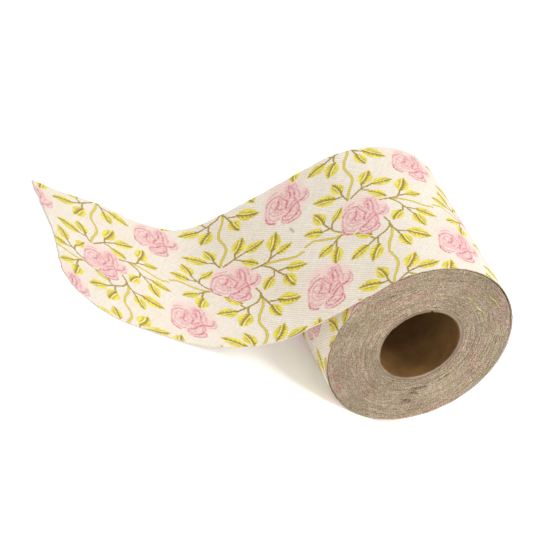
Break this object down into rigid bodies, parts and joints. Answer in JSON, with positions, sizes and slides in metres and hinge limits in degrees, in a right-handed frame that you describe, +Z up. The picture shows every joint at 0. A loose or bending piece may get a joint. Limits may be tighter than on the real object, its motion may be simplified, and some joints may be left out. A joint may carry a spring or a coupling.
{
  "type": "fabric tape roll",
  "caption": "Roll of floral printed cotton cloth wound on a paper core, its free end swept down off the top and laid flat; the core takes a spindle.",
  "frame": {"origin": "middle of the core's bore, on the roll's axis", "axes": "+Y along the roll's axis, away from the near end; +Z up; the free cloth leaves the roll on the -X side and lies on the table one roll radius below the origin"},
  "size_m": [0.236, 0.1, 0.1014],
  "materials": {
    "kraft_liner": "brown kraft paper, matt",
    "grey_board": "grey board, matt",
    "grey_wrap": "grey paper, matt",
    "starter_strip": "translucent adhesive tape",
    "cloth_layers": "cut edges of many layers of cotton",
    "printed_cloth": "cream cotton canvas with pink roses and yellow-green leaves, matt"
  },
  "bodies": {
    "laid_cloth": {"outer_turn": "printed_cloth", "free_tail": "printed_cloth"},
    "spool": {"core_liner": "kraft_liner", "core_ply_1": "grey_board", "core_ply_2": "grey_board", "core_ply_3": "grey_board", "core_wrap": "grey_wrap", "starter_tape": "starter_strip", "wound_fabric": "cloth_layers"}
  },
  "joints": [
    {"name": "spool_spin", "type": "hinge", "parent": "laid_cloth", "child": "spool", "pos_m": [0, 0, 0], "axis": [0, 1, 0], "continuous": true}
  ]
}
